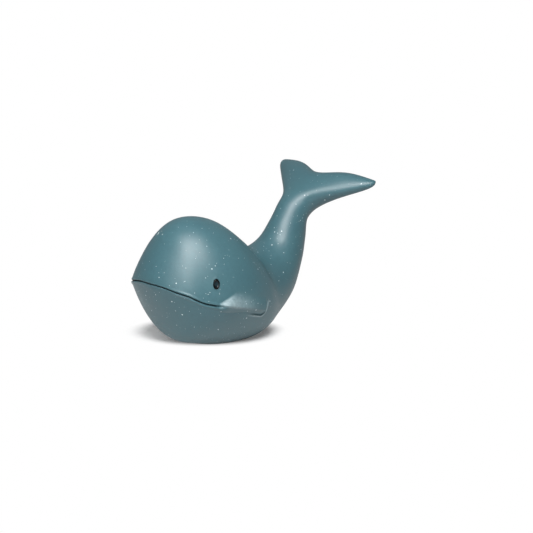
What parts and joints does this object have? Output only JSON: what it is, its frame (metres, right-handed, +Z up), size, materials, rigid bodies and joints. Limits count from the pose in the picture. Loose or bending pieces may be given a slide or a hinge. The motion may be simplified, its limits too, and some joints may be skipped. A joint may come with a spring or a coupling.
{
  "type": "whale squirt bath toy",
  "caption": "Hollow soft whale figure with raised tail flukes, side fins, inset bead eyes and a pull-out base plug with a squirt hole.",
  "frame": {"origin": "centre of the bounding box, at the level of the flat foot", "axes": "+Z up, the nose points to -Y and the tail to +Y, the left side is +X"},
  "size_m": [0.045, 0.085, 0.0511],
  "materials": {
    "skin": "satin slate teal with fine pale speckles",
    "eye": "gloss near-black",
    "plug": "satin, a little lighter than the skin"
  },
  "bodies": {
    "skin": {"body_shell": "skin", "eye_left": "eye", "eye_right": "eye"},
    "plug": {"base_plug": "plug"}
  },
  "joints": [
    {"name": "plug_pull", "type": "slide", "parent": "skin", "child": "plug", "axis": [0, 0, -1], "range_m": [0, 0.008]}
  ]
}
